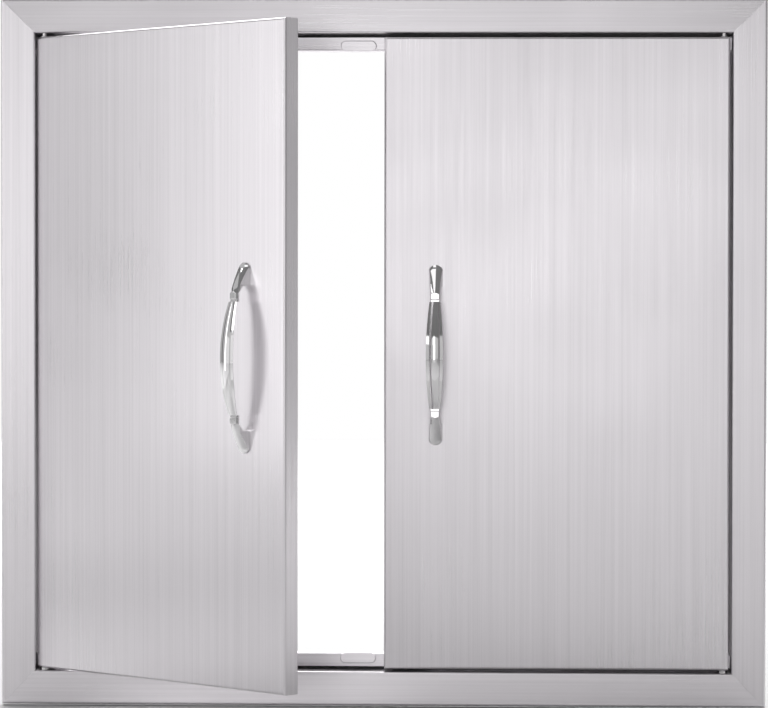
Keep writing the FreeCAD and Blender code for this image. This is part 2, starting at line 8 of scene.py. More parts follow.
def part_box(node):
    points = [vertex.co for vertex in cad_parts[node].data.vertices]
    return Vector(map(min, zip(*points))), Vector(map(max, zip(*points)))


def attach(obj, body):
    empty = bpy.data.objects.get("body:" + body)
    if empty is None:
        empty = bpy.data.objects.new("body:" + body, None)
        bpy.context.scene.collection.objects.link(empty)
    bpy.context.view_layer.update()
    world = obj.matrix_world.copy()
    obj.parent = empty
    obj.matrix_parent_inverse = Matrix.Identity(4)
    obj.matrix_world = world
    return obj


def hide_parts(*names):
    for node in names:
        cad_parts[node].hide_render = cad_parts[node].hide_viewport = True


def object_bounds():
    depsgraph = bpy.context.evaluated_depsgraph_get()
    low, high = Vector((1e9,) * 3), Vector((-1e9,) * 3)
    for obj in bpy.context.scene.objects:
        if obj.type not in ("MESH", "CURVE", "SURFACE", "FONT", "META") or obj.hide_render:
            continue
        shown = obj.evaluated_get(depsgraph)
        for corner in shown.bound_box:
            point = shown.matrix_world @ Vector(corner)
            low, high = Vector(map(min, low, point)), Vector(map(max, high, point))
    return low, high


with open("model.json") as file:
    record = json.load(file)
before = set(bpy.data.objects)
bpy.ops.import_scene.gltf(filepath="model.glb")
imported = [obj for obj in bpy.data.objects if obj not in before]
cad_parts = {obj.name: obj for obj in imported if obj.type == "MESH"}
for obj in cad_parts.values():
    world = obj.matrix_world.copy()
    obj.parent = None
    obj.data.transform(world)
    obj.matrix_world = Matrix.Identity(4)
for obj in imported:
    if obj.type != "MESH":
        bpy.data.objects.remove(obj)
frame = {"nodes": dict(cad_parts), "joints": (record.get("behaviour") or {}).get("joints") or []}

# Double steel access door for an island, left door standing open.
# Metres, +X to the right, +Y into the wall, +Z up.

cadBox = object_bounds()
scene = bpy.context.scene
nodes = frame["nodes"]
mm = 0.001
print("frame loaded:", len(nodes), "nodes")


# materials

def newMaterial(name):
    material = bpy.data.materials.new(name)
    material.use_nodes = True
    tree = material.node_tree
    tree.nodes.clear()
    output = tree.nodes.new("ShaderNodeOutputMaterial")
    shader = tree.nodes.new("ShaderNodeBsdfPrincipled")
    tree.links.new(shader.outputs["BSDF"], output.inputs["Surface"])
    return material, tree, shader


def addNode(tree, kind, inputs=None, **settings):
    # inputs: socket name or number -> a number, or the socket that feeds it
    node = tree.nodes.new(kind)
    for key, value in settings.items():
        setattr(node, key, value)
    for key, value in (inputs or {}).items():
        if isinstance(value, bpy.types.NodeSocket):
            tree.links.new(value, node.inputs[key])
        else:
            node.inputs[key].default_value = value
    return node


def stretchedNoise(tree, coords, scale, detail=3.0, roughness=0.55):
    # a noise pulled out along the axes whose scale is small; scale is per metre
    mapping = addNode(tree, "ShaderNodeMapping", {"Vector": coords, "Scale": scale})
    noise = addNode(tree, "ShaderNodeTexNoise", {
        "Vector": mapping.outputs["Vector"], "Scale": 1.0, "Detail": detail, "Roughness": roughness})
    return noise.outputs["Fac"]


def ranged(tree, value, low, high, lowest=0.0, highest=1.0):
    # carries value from lowest..highest to low..high
    return addNode(tree, "ShaderNodeMapRange", {
        "Value": value, "From Min": lowest, "From Max": highest,
        "To Min": low, "To Max": high}).outputs["Result"]


def summed(tree, first, second, operation="ADD"):
    return addNode(tree, "ShaderNodeMath", {0: first, 1: second}, operation=operation).outputs[0]


def tinted(tree, amount, dark, light):
    return addNode(tree, "ShaderNodeMix", {0: amount, 6: (*dark, 1.0), 7: (*light, 1.0)},
                   data_type="RGBA").outputs[2]


noiseSpan = (0.3, 0.7)   # where most of a noise's values lie

brushLook = {
    "across": 1500.0,      # fine scratches, per metre across the brush
    "along": 9.0,          # and along it
    "lineAcross": 430.0,   # the lines that the eye picks out
    "lineAlong": 2.4,
    "broadAcross": 120.0,  # wider streaks of the same brush
    "broadAlong": 1.0,
    "fineDepth": 0.26,     # how far each of the three moves the colour
    "lineDepth": 0.55,
    "broadDepth": 0.3,
    "detail": 4.0,
    "grit": 0.62,          # how strongly the finest octaves of the noise show
    "cloud": (0.42, 0.58),
    "dark": (0.735, 0.708, 0.735),
    "light": (0.845, 0.815, 0.845),
    "roughness": 0.31,
    "roughnessSpread": 0.16,
    "smudgeSpread": 0.03,
    "bump": 0.22,
    "bumpDepth": 0.00004,
    "anisotropy": 0.72,
    "lean": 0.02,          # keeps the product with the normal from vanishing
    "smudgeScale": 5.0,
    "paintedShadeStart": -0.0090,  # where the painted shade on the frame's walls begins, as they leave its face; it is full at the next depth
    "paintedShadeEnd": -0.0065,
}


def brushedSteel(name, vertical, shade=1.0, recessPaintedShade=1.0):
    # sheet steel with a straight brushed grain, upright or level; the third argument scales the
    # whole colour, painted light where it is above one; the fourth darkens the walls of the frame
    # behind its face, painted shade standing in for the dark of the recess
    look = brushLook
    material, tree, shader = newMaterial(name)
    coords = addNode(tree, "ShaderNodeTexCoord").outputs["Object"]

    def grain(across, along):
        scale = (across, across, along) if vertical else (along, across, across)
        return stretchedNoise(tree, coords, scale, look["detail"], look["grit"])

    fine = grain(look["across"], look["along"])
    lines = grain(look["lineAcross"], look["lineAlong"])
    broad = grain(look["broadAcross"], look["broadAlong"])
    smudge = stretchedNoise(tree, coords, (look["smudgeScale"],) * 3, 2.0)
    streaks = summed(tree, ranged(tree, fine, -look["fineDepth"], look["fineDepth"]),
                     ranged(tree, broad, -look["broadDepth"], look["broadDepth"]))
    streaks = summed(tree, streaks,
                     ranged(tree, lines, -look["lineDepth"], look["lineDepth"], 0.2, 0.8))
    cloud = ranged(tree, smudge, *look["cloud"], *noiseSpan)
    amount = summed(tree, streaks, cloud)
    # a scale above one is painted light that lifts the whole colour
    dark = tuple(channel * shade for channel in look["dark"])
    light = tuple(channel * shade for channel in look["light"])
    colour = tinted(tree, amount, dark, light)
    # painted shade: the walls of the frame behind its face are darkened, standing in for the shade
    # deep in the recess
    if recessPaintedShade < 1.0:
        depth = addNode(tree, "ShaderNodeSeparateXYZ", {"Vector": coords}).outputs["Y"]
        behind = ranged(tree, depth, 1.0, recessPaintedShade, look["paintedShadeStart"], look["paintedShadeEnd"])
        colour = addNode(tree, "ShaderNodeMix", {0: 1.0, 6: colour, 7: behind},
                         data_type="RGBA", blend_type="MULTIPLY").outputs[2]
    tree.links.new(colour, shader.inputs["Base Color"])
    spread, middle, stain = look["roughnessSpread"], look["roughness"], look["smudgeSpread"]
    rough = summed(tree, ranged(tree, fine, -spread / 2, spread / 2),
                   ranged(tree, smudge, middle - stain, middle + stain, *noiseSpan))
    tree.links.new(rough, shader.inputs["Roughness"])
    bump = addNode(tree, "ShaderNodeBump", {
        "Strength": look["bump"], "Distance": look["bumpDepth"], "Height": fine})
    tree.links.new(bump.outputs["Normal"], shader.inputs["Normal"])
    # the highlight spreads across the brush
    alongBrush = (look["lean"], 0.0, 1.0) if vertical else (1.0, 0.0, look["lean"])
    normal = addNode(tree, "ShaderNodeNewGeometry").outputs["Normal"]
    spreadWay = addNode(tree, "ShaderNodeVectorMath", {0: normal, 1: alongBrush},
                        operation="CROSS_PRODUCT")
    tree.links.new(spreadWay.outputs["Vector"], shader.inputs["Tangent"])
    shader.inputs["Metallic"].default_value = 1.0
    shader.inputs["Anisotropic"].default_value = look["anisotropy"]
    return material


rolledLook = {
    "grain": (420.0, 420.0, 30.0),   # of sheet; plate and turned pieces have their own
    "stain": (22.0, 22.0, 22.0),
    "grainDepth": (0.1, 0.6),        # what each of the two gives to the colour
    "stainDepth": (-0.1, 0.5),
    "smoother": 0.07,                # how far stains move the roughness
    "rougher": 0.09,
    "bump": 0.2,
    "bumpDepth": 0.00005,
}


def rolledSteel(name, dark, light, roughness, grainScale=rolledLook["grain"]):
    # mill-finish sheet and plate, as on the hidden pieces: a soft grain and faint stains
    look = rolledLook
    material, tree, shader = newMaterial(name)
    coords = addNode(tree, "ShaderNodeTexCoord").outputs["Object"]
    grain = stretchedNoise(tree, coords, grainScale, 5.0, 0.6)
    stain = stretchedNoise(tree, coords, look["stain"], 4.0)
    amount = summed(tree, ranged(tree, grain, *look["grainDepth"]),
                    ranged(tree, stain, *look["stainDepth"]))
    tree.links.new(tinted(tree, amount, dark, light), shader.inputs["Base Color"])
    low, high = roughness - look["smoother"], roughness + look["rougher"]
    tree.links.new(ranged(tree, stain, low, high, *noiseSpan), shader.inputs["Roughness"])
    bump = addNode(tree, "ShaderNodeBump", {
        "Strength": look["bump"], "Distance": look["bumpDepth"], "Height": grain})
    tree.links.new(bump.outputs["Normal"], shader.inputs["Normal"])
    shader.inputs["Metallic"].default_value = 1.0
    return material


chromeLook = {
    "wipe": (900.0, 900.0, 60.0),    # wipe marks along the handle
    "peel": (260.0, 260.0, 260.0),   # orange peel of the casting
    "smooth": 0.03,
    "wiped": 0.075,
    "dark": (0.80, 0.79, 0.80),
    "light": (0.88, 0.87, 0.88),
    "bump": 0.06,
    "bumpDepth": 0.0002,
}


def polishedChrome(name):
    # plated casting: nearly a mirror, with faint wipe marks and a little orange peel
    look = chromeLook
    material, tree, shader = newMaterial(name)
    coords = addNode(tree, "ShaderNodeTexCoord").outputs["Object"]
    wipe = stretchedNoise(tree, coords, look["wipe"], 3.0)
    peel = stretchedNoise(tree, coords, look["peel"], 2.0)
    tree.links.new(ranged(tree, wipe, look["smooth"], look["wiped"], 0.35, 0.7),
                   shader.inputs["Roughness"])
    tree.links.new(tinted(tree, wipe, look["dark"], look["light"]), shader.inputs["Base Color"])
    bump = addNode(tree, "ShaderNodeBump", {
        "Strength": look["bump"], "Distance": look["bumpDepth"], "Height": peel})
    tree.links.new(bump.outputs["Normal"], shader.inputs["Normal"])
    shader.inputs["Metallic"].default_value = 1.0
    return material


magnetLook = {
    "grit": (2600.0, 2600.0, 2600.0),
    "dark": (0.018, 0.018, 0.02),
    "light": (0.06, 0.06, 0.065),
    "smooth": 0.45,
    "rough": 0.75,
    "bump": 0.4,
    "bumpDepth": 0.0001,
}


def sinteredMagnet(name):
    # dark grey ferrite with a fine grit
    look = magnetLook
    material, tree, shader = newMaterial(name)
    coords = addNode(tree, "ShaderNodeTexCoord").outputs["Object"]
    grit = stretchedNoise(tree, coords, look["grit"], 3.0)
    tree.links.new(tinted(tree, grit, look["dark"], look["light"]), shader.inputs["Base Color"])
    tree.links.new(ranged(tree, grit, look["smooth"], look["rough"]), shader.inputs["Roughness"])
    bump = addNode(tree, "ShaderNodeBump", {
        "Strength": look["bump"], "Distance": look["bumpDepth"], "Height": grit})
    tree.links.new(bump.outputs["Normal"], shader.inputs["Normal"])
    return material


def finish(piece, material):
    piece.data.materials.clear()
    piece.data.materials.append(material)


uprightBrush = brushedSteel("brushedUpright", True)
# copies for the frame, with painted shade on its walls behind the face
uprightFramePaintedShade = brushedSteel("brushedUprightFramePaintedShade", True, recessPaintedShade=0.45)
levelFramePaintedShade = brushedSteel("brushedLevelFramePaintedShade", False, recessPaintedShade=0.45)
# a lighter copy of the brushed steel: painted light, which brightens the stop rails and catches that
# sit dark in the recess
coverSteelPaintedLight = brushedSteel("brushedCoverPaintedLight", False, 1.14)
sheetSteel = rolledSteel("rolledSheet", (0.50, 0.49, 0.50), (0.66, 0.65, 0.66), 0.42)
plateSteel = rolledSteel("rolledPlate", (0.42, 0.41, 0.42), (0.60, 0.59, 0.60), 0.38,
                         (60.0, 60.0, 500.0))
turnedSteel = rolledSteel("turnedSteel", (0.55, 0.54, 0.54), (0.75, 0.74, 0.74), 0.24,
                          (40.0, 40.0, 2200.0))
zincPlate = rolledSteel("zincPlate", (0.52, 0.53, 0.55), (0.70, 0.70, 0.68), 0.33,
                        (700.0, 700.0, 700.0))
weldSteel = rolledSteel("weldSteel", (0.30, 0.27, 0.25), (0.52, 0.49, 0.46), 0.36,
                        (1400.0, 1400.0, 1400.0))
# a dark copy for the backs of the handles: painted shade that deepens the handle's shadow mirrored
# in the doors; the real backs are plated like the fronts
handleBackPaintedShade = rolledSteel("handleBackPaintedShade", (0.10, 0.10, 0.105), (0.20, 0.195, 0.20), 0.5,
                       (300.0, 300.0, 300.0))
chrome = polishedChrome("polishedChrome")
magnetDark = sinteredMagnet("sinteredMagnet")

nodeFinish = {
    "frame_top": levelFramePaintedShade, "frame_bottom": levelFramePaintedShade,
    "frame_left": uprightFramePaintedShade, "frame_right": uprightFramePaintedShade,
    "corner_plate": plateSteel, "stop_rail": coverSteelPaintedLight, "catch": coverSteelPaintedLight,
    "magnet": magnetDark, "pivot_pin": turnedSteel, "door_skin": uprightBrush,
    "door_liner": sheetSteel, "hinge_block": plateSteel, "handle_screws": zincPlate,
    "strike_plates": zincPlate, "handle": chrome,
}
for nodeName, node in nodes.items():
    finish(node, next(m for part, m in nodeFinish.items() if part in nodeName))
print("finishes given to the packed pieces")


# handles

handleShape = {
    "gripHalfLength": 45.7 * mm,
    "gripTop": 21.1 * mm,        # height of the widest line at the middle
    "bowRadius": 150.0 * mm,
    "gripHalfWidth": 7.3 * mm,
    "sideRadius": 386.0 * mm,
    "domeHalfWidth": 4.7 * mm,
    "bevel": 1.3 * mm,
    "dome": 1.2 * mm,
    "domeEdge": 0.84,            # share of the dome's half width at which it breaks off
    "domeStep": 0.6 * mm,        # depth of the break
    "gripBack": 3.0 * mm,
    "gripBackHalf": 3.6 * mm,
    "rounding": 0.3 * mm,
    "neckFront": 13.3 * mm,
    "neckLength": 2.1 * mm,
    "knuckleFront": 14.2 * mm,
    "knuckleBack": 10.8 * mm,
    "knuckleLength": 5.0 * mm,
    "knuckleRounding": 0.45 * mm,
    "knuckleBulge": 1.1 * mm,    # how far its front edge bows towards the foot
    "footHalf": 5.95 * mm,       # half width at the door, from which the flanks lean in
    "draft": 0.1585,
    "mostTurn": 0.4,             # share of a bar's thickness that its rounding may take
    "backTurn": 0.6,             # rounding of its back as a share of the front's
    "armFront": 13.7 * mm,
    "armSlope": 0.545,
    "armRise": 0.8 * mm,
    "armDome": 0.5 * mm,
    "armThin": 2.3 * mm,
    "armThick": 4.5 * mm,
    "armRounding": 0.4 * mm,
    "bulgeFade": 6.0,            # the bow of the knuckle's edge fades over a sixth of the arm
    "footStart": 58.7 * mm,
    "footEnd": 77.6 * mm,
    "heelSteps": (-0.004, 0.03),  # outlines just before and after the heel, in shares of the arm
    "toeLength": 3.7 * mm,
    "toeHeight": 0.9 * mm,
    "toeSweep": 88.0,            # degrees of the toe's arc
    "toeFall": 1.5,              # power by which its top falls
    "gripStations": 48,
    "armStations": 16,
    "toeStations": 8,
    "knuckleAngles": (0, 30, 60, 90),
    "domeSteps": 12,
    "sharpAngle": 40.0,          # degrees from which an edge stays crisp
}


def station(along, shoulder, front, dome, highHalf, high, lowHalf, low, backHalf, back,
            bulge=0.0, drop=0.0):
    # one outline across the handle, by its corners from the front to the back
    return {"along": along, "shoulder": shoulder, "front": front, "dome": dome,
            "highHalf": highHalf, "high": high, "lowHalf": lowHalf, "low": low,
            "backHalf": backHalf, "back": back, "bulge": bulge, "drop": drop}


def gripStation(along):
    h = handleShape
    half = h["gripHalfWidth"] - h["sideRadius"] + math.sqrt(h["sideRadius"] ** 2 - along ** 2)
    middle = h["gripTop"] - h["bowRadius"] + math.sqrt(h["bowRadius"] ** 2 - along ** 2)
    share = half / h["gripHalfWidth"]
    return station(along, h["domeHalfWidth"] * share, middle + h["bevel"] * share, h["dome"] * share,
                   half, middle + h["rounding"], half, middle - h["rounding"],
                   h["gripBackHalf"] * share, middle - h["gripBack"] * share,
                   0.0, h["domeStep"] * share)


def barStation(along, front, back, rounding, dome=0.0, bulge=0.0, share=1.0):
    # a bar that narrows towards its front by the casting draft
    h = handleShape
    frontHalf = (h["footHalf"] - h["draft"] * front) * share
    backHalf = (h["footHalf"] - h["draft"] * back) * share
    turn = min(rounding, (front - back) * h["mostTurn"]) * share
    backTurn = turn * h["backTurn"]
    return station(along, frontHalf - turn, front - dome, dome, frontHalf, front - dome - turn,
                   backHalf, back + backTurn, backHalf - backTurn, back, bulge)


def handleStations():
    # from the middle of the grip to the toe
    h = handleShape
    count = h["gripStations"] // 2
    found = [gripStation(h["gripHalfLength"] * step / count) for step in range(count + 1)]
    neckEnd = h["gripHalfLength"] + h["neckLength"]
    for along in (h["gripHalfLength"] + h["rounding"], neckEnd - h["rounding"]):
        found.append(barStation(along, h["neckFront"], h["knuckleBack"], h["rounding"]))
    knuckleEnd = neckEnd + h["knuckleLength"]
    turn = h["knuckleRounding"]
    for start, way, bulge in ((neckEnd, 1, 0.0), (knuckleEnd, -1, h["knuckleBulge"])):
        for angle in h["knuckleAngles"][::way]:
            turned = math.radians(angle)
            front = h["knuckleFront"] - turn * (1 - math.sin(turned))
            found.append(barStation(start + way * turn * (1 - math.cos(turned)), front,
                                    h["knuckleBack"], turn, 0.0, bulge))
    toeStart = h["footEnd"] - h["toeLength"]
    span = toeStart - knuckleEnd
    heel = (h["footStart"] - knuckleEnd) / span
    shares = sorted([step / h["armStations"] for step in range(h["armStations"] + 1)]
                    + [heel + step for step in h["heelSteps"]])
    for t in shares:
        front = h["armFront"] - h["armSlope"] * span * t + h["armRise"] * 4 * t * (1 - t)
        thick = h["armThin"] + (h["armThick"] - h["armThin"]) * min(t / heel, 1.0)
        found.append(barStation(
            knuckleEnd + span * t, front, 0.0 if t > heel else front - thick, h["armRounding"],
            h["armDome"], h["knuckleBulge"] * max(0.0, 1 - t * h["bulgeFade"])))
    toeFront = h["armFront"] - h["armSlope"] * span
    half, length = h["footHalf"], h["toeLength"]
    toeRadius = (half * half + length * length) / (length * 2)
    corner = math.asin((toeRadius - length) / toeRadius)
    for step in range(1, h["toeStations"] + 1):
        # the end is an arc as seen from the front
        turned = corner + (math.radians(h["toeSweep"]) - corner) * step / h["toeStations"]
        reach = toeRadius * (math.sin(turned) - 1) + length
        front = toeFront + (h["toeHeight"] - toeFront) * (reach / length) ** h["toeFall"]
        found.append(barStation(
            toeStart + reach, front, 0.0, h["armRounding"], h["armDome"] * math.cos(turned),
            0.0, toeRadius * math.cos(turned) / half))
    return found


def outlinePoints(s):
    # (across, along, height): over the dome, then round the back
    steps = handleShape["domeSteps"]
    points = []
    for step in range(steps + 1):
        t = handleShape["domeEdge"] * (-1 + 2 * step / steps)
        crown = 1 - t * t
        points.append((t * s["shoulder"], s["front"] + s["dome"] * crown, s["bulge"] * crown))
    flank = [(s["shoulder"], s["front"] - s["drop"], 0.0), (s["highHalf"], s["high"], 0.0),
             (s["lowHalf"], s["low"], 0.0), (s["backHalf"], s["back"], 0.0)]
    points += flank
    points += [(-across, height, 0.0) for across, height, _ in reversed(flank)]
    return points


def handleMesh(name, place):
    # place carries (across, height, along) to the door's own place
    half = handleStations()
    mesh = bmesh.new()
    rings = []
    for way, stations in ((-1, half[:0:-1]), (1, half)):
        for s in stations:
            rings.append([
                mesh.verts.new(place @ Vector((across, height, way * (s["along"] + bulge))))
                for across, height, bulge in outlinePoints(s)])
    count = len(rings[0])
    # numbers of the outline's sides: crisp beside the dome, and round the back the sides that take a
    # dark painted shade
    domeEnd = handleShape["domeSteps"]
    breaks = {0, domeEnd, domeEnd + 1, count - 1}
    backSides = range(domeEnd + 3, domeEnd + 6)
    for ring, after in zip(rings, rings[1:]):
        for i in range(count):
            j = (i + 1) % count
            face = mesh.faces.new((ring[i], ring[j], after[j], after[i]))
            # the back sides take the second material, the dark painted shade
            face.material_index = 1 if i in backSides else 0
            face.smooth = True
    for ring in (rings[0], rings[-1]):
        mesh.faces.new(ring)
    bmesh.ops.recalc_face_normals(mesh, faces=mesh.faces)
    for edge in mesh.edges:
        edge.smooth = edge.calc_face_angle(0.0) < math.radians(handleShape["sharpAngle"])
    for ring, after in zip(rings, rings[1:]):
        for i in breaks:
            mesh.edges.get((ring[i], after[i])).smooth = False
    data = bpy.data.meshes.new(name)
    mesh.to_mesh(data)
    mesh.free()
    piece = bpy.data.objects.new(name, data)
    scene.collection.objects.link(piece)
    weighted = piece.modifiers.new("evenFaces", "WEIGHTED_NORMAL")
    weighted.keep_sharp = True
    finish(piece, chrome)
    # second slot: the dark painted shade of the back
    data.materials.append(handleBackPaintedShade)
    return piece


joints = {joint["name"]: joint for joint in frame["joints"]}
rightLow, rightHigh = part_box("right_handle")
handleX = (rightLow.x + rightHigh.x) / 2
handleZ = (rightLow.z + rightHigh.z) / 2
doorFace = rightHigh.y


def shutPlace(side):
    # across -> X, height -> -Y from the door's face, along -> Z
    return Matrix(((1, 0, 0, side * handleX), (0, -1, 0, doorFace),
                   (0, 0, 1, handleZ), (0, 0, 0, 1)))


def openPlace(side, place):
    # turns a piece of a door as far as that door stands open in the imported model
    joint = joints["left_door_hinge" if side < 0 else "right_door_hinge"]
    turned = math.radians(-joint["range_deg"][0])
    pivot = Matrix.Translation(Vector(joint["pos_m"]))
    return pivot @ Matrix.Rotation(turned, 4, Vector(joint["axis"])) @ pivot.inverted() @ place


for sideName, side in (("left", -1), ("right", 1)):
    piece = handleMesh(sideName + "BowHandle", openPlace(side, shutPlace(side)))
    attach(piece, sideName + "_door")
    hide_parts(sideName + "_handle")
print("handles made")


# screws and weld spots, repeated by geometry nodes

def startGrowth(name, inputs):
    # inputs: name -> (kind of socket, number or None)
    tree = bpy.data.node_groups.new(name, "GeometryNodeTree")
    tree.interface.new_socket("Geometry", in_out="INPUT", socket_type="NodeSocketGeometry")
    for label, (kind, value) in inputs.items():
        socket = tree.interface.new_socket(label, in_out="INPUT", socket_type="NodeSocket" + kind)
        if value is not None:
            socket.default_value = value
    tree.interface.new_socket("Geometry", in_out="OUTPUT", socket_type="NodeSocketGeometry")
    return tree, addNode(tree, "NodeGroupInput").outputs


def endGrowth(tree, geometry, material):
    real = addNode(tree, "GeometryNodeRealizeInstances", {"Geometry": geometry})
    dressed = addNode(tree, "GeometryNodeSetMaterial", {
        "Geometry": real.outputs["Geometry"], "Material": material})
    addNode(tree, "NodeGroupOutput", {"Geometry": dressed.outputs["Geometry"]})


def moved(tree, geometry, height):
    offset = addNode(tree, "ShaderNodeCombineXYZ", {"Z": height})
    return addNode(tree, "GeometryNodeTransform", {
        "Geometry": geometry, "Translation": offset.outputs["Vector"]}).outputs["Geometry"]


def insetTop(tree, mesh, top, share, rise):
    # draws a top face in and lifts it, as a chamfer or, with a negative rise, a dish
    drawn = addNode(tree, "GeometryNodeExtrudeMesh", {
        "Mesh": mesh, "Selection": top, "Offset Scale": 0.0}, mode="FACES")
    shrunk = addNode(tree, "GeometryNodeScaleElements", {
        "Geometry": drawn.outputs["Mesh"], "Selection": drawn.outputs["Top"], "Scale": share})
    offset = addNode(tree, "ShaderNodeCombineXYZ", {"Z": rise})
    raised = addNode(tree, "GeometryNodeSetPosition", {
        "Geometry": shrunk.outputs["Geometry"], "Selection": drawn.outputs["Top"],
        "Offset": offset.outputs["Vector"]})
    return raised.outputs["Geometry"]


def grownPiece(name, points, edges, tree, sizes, place):
    # points and edges are drawn on the shut door; what grows on them comes back as a plain mesh
    seed = bpy.data.meshes.new(name + "Seed")
    seed.from_pydata(points, edges, [])
    piece = bpy.data.objects.new(name, seed)
    scene.collection.objects.link(piece)
    modifier = piece.modifiers.new(tree.name, "NODES")
    modifier.node_group = tree
    identifiers = {item.name: item.identifier for item in tree.interface.items_tree
                   if item.in_out == "INPUT"}
    for label, value in sizes.items():
        modifier[identifiers[label]] = value
    evaluated = piece.evaluated_get(bpy.context.evaluated_depsgraph_get())
    grown = bpy.data.meshes.new_from_object(evaluated)
    piece.modifiers.clear()
    piece.data = grown
    grown.transform(place)
    bpy.data.meshes.remove(seed)
    return piece


facingBack = (math.radians(-90), 0.0, 0.0)   # turns a node's own Z to the back of the shut door


def screwTree():
    # hexagon head with a chamfer, on a washer, over a threaded shank
    tree, given = startGrowth("hexScrews", {
        "Head Radius": ("Float", 0.004), "Head Height": ("Float", 0.0018),
        "Chamfer": ("Float", 0.0003), "Crown Share": ("Float", 0.88),
        "Washer Radius": ("Float", 0.0045),
        "Washer Height": ("Float", 0.0006), "Core Radius": ("Float", 0.0016),
        "Shank Length": ("Float", 0.02), "Thread Pitch": ("Float", 0.0007),
        "Thread Radius": ("Float", 0.0017), "Thread Height": ("Float", 0.0003),
        "Material": ("Material", None)})

    def cylinder(sides, radius, depth, height):
        # from its foot at height
        made = addNode(tree, "GeometryNodeMeshCylinder", {
            "Vertices": sides, "Radius": radius, "Depth": depth})
        middle = summed(tree, height, summed(tree, depth, 0.5, "MULTIPLY"))
        return moved(tree, made.outputs["Mesh"], middle), made.outputs["Top"]

    washer, _ = cylinder(28, given["Washer Radius"], given["Washer Height"], 0.0)
    prismHeight = summed(tree, given["Head Height"], given["Chamfer"], "SUBTRACT")
    prism, top = cylinder(6, given["Head Radius"], prismHeight, given["Washer Height"])
    head = insetTop(tree, prism, top, given["Crown Share"], given["Chamfer"])
    down = summed(tree, given["Shank Length"], -1.0, "MULTIPLY")
    core, _ = cylinder(16, given["Core Radius"], given["Shank Length"], down)
    turns = summed(tree, given["Shank Length"], given["Thread Pitch"], "DIVIDE")
    helix = addNode(tree, "GeometryNodeCurveSpiral", {
        "Resolution": 14, "Rotations": turns, "Start Radius": given["Thread Radius"],
        "End Radius": given["Thread Radius"], "Height": given["Shank Length"]})
    ridge = addNode(tree, "GeometryNodeCurvePrimitiveCircle", {
        "Resolution": 4, "Radius": given["Thread Height"]})
    thread = addNode(tree, "GeometryNodeCurveToMesh", {
        "Curve": helix.outputs["Curve"], "Profile Curve": ridge.outputs["Curve"], "Fill Caps": True})
    screw = addNode(tree, "GeometryNodeJoinGeometry")
    for part in (washer, head, core, moved(tree, thread.outputs["Mesh"], down)):
        tree.links.new(part, screw.inputs["Geometry"])
    spread = addNode(tree, "GeometryNodeInstanceOnPoints", {
        "Points": given["Geometry"], "Instance": screw.outputs["Geometry"], "Rotation": facingBack})
    endGrowth(tree, spread.outputs["Instances"], given["Material"])
    return tree


def weldTree():
    # dished spots at even steps along the lines that two sheets are welded on
    tree, given = startGrowth("weldSpots", {
        "Spacing": ("Float", 0.04), "Spot Radius": ("Float", 0.0024),
        "Spot Height": ("Float", 0.00016), "Rim Share": ("Float", 0.84),
        "Dish Share": ("Float", 0.62), "Dish Rise": ("Float", -0.7),
        "Size Spread": ("Float", 0.16), "Seed": ("Int", 4), "Material": ("Material", None)})
    rim = summed(tree, given["Spot Radius"], given["Rim Share"], "MULTIPLY")
    spot = addNode(tree, "GeometryNodeMeshCone", {
        "Vertices": 16, "Radius Top": rim, "Radius Bottom": given["Spot Radius"],
        "Depth": given["Spot Height"]})
    sunk = summed(tree, given["Spot Height"], given["Dish Rise"], "MULTIPLY")
    dished = insetTop(tree, spot.outputs["Mesh"], spot.outputs["Top"], given["Dish Share"], sunk)
    line = addNode(tree, "GeometryNodeMeshToCurve", {"Mesh": given["Geometry"]})
    steps = addNode(tree, "GeometryNodeResampleCurve", {
        "Curve": line.outputs["Curve"], "Length": given["Spacing"]}, mode="LENGTH")
    least = summed(tree, 1.0, given["Size Spread"], "SUBTRACT")
    chance = addNode(tree, "FunctionNodeRandomValue", {
        "Min": least, "Max": 1.0, "Seed": given["Seed"]}, data_type="FLOAT")
    spread = addNode(tree, "GeometryNodeInstanceOnPoints", {
        "Points": steps.outputs["Curve"], "Instance": dished, "Rotation": facingBack,
        "Scale": chance.outputs["Value"]})
    endGrowth(tree, spread.outputs["Instances"], given["Material"])
    return tree


handleScrews = {
    "Head Height": 1.8 * mm,
    "Chamfer": 0.3 * mm,
    "Crown Share": 0.88,         # width of the face inside the chamfer
    "Washer Radius": 4.5 * mm,
    "Washer Height": 0.6 * mm,
    "Core Radius": 1.6 * mm,
    "Thread Pitch": 0.7 * mm,
    "Thread Radius": 1.65 * mm,
    "Thread Height": 0.3 * mm,
    "Material": zincPlate,
}
weldSpots = {
    "Spacing": 42.0 * mm,
    "Spot Radius": 2.5 * mm,
    "Spot Height": 0.16 * mm,
    "Rim Share": 0.84,           # widths of the spot's top and of the dish in it
    "Dish Share": 0.62,
    "Dish Rise": -0.7,           # in spot heights, so that it sinks
    "Size Spread": 0.16,
    "Material": weldSteel,
}
weldPlaces = {
    "seed": 5,
    "plateSpacing": 21.0 * mm,   # spots on the corner plates stand closer
    "returnInset": 8.0 * mm,     # from a door's edge to the line of spots on its return
    "endInset": 24.0 * mm,
    "strikeInset": 8.0 * mm,     # from a strike plate's ends and from its long edge
    "strikeEdge": 5.0 * mm,
    "legHalf": 9.5 * mm,         # half of a corner plate's leg
}
hexScrews, weldLines = screwTree(), weldTree()


def screwPoints():
    # the two seats on the shut right door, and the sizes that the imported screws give
    low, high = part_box("right_handle_screws")
    radius = (high.x - low.x) / 2
    drop = radius * math.sin(math.radians(60))
    seat = high.y - handleScrews["Head Height"] - handleScrews["Washer Height"]
    sizes = dict(handleScrews, **{"Head Radius": radius, "Shank Length": seat - low.y})
    return [((low.x + high.x) / 2, seat, z) for z in (low.z + drop, high.z - drop)], sizes


def lineOfSpots(points, edges, corners):
    first = len(points)
    points += corners
    edges += [(first + i, first + i + 1) for i in range(len(corners) - 1)]


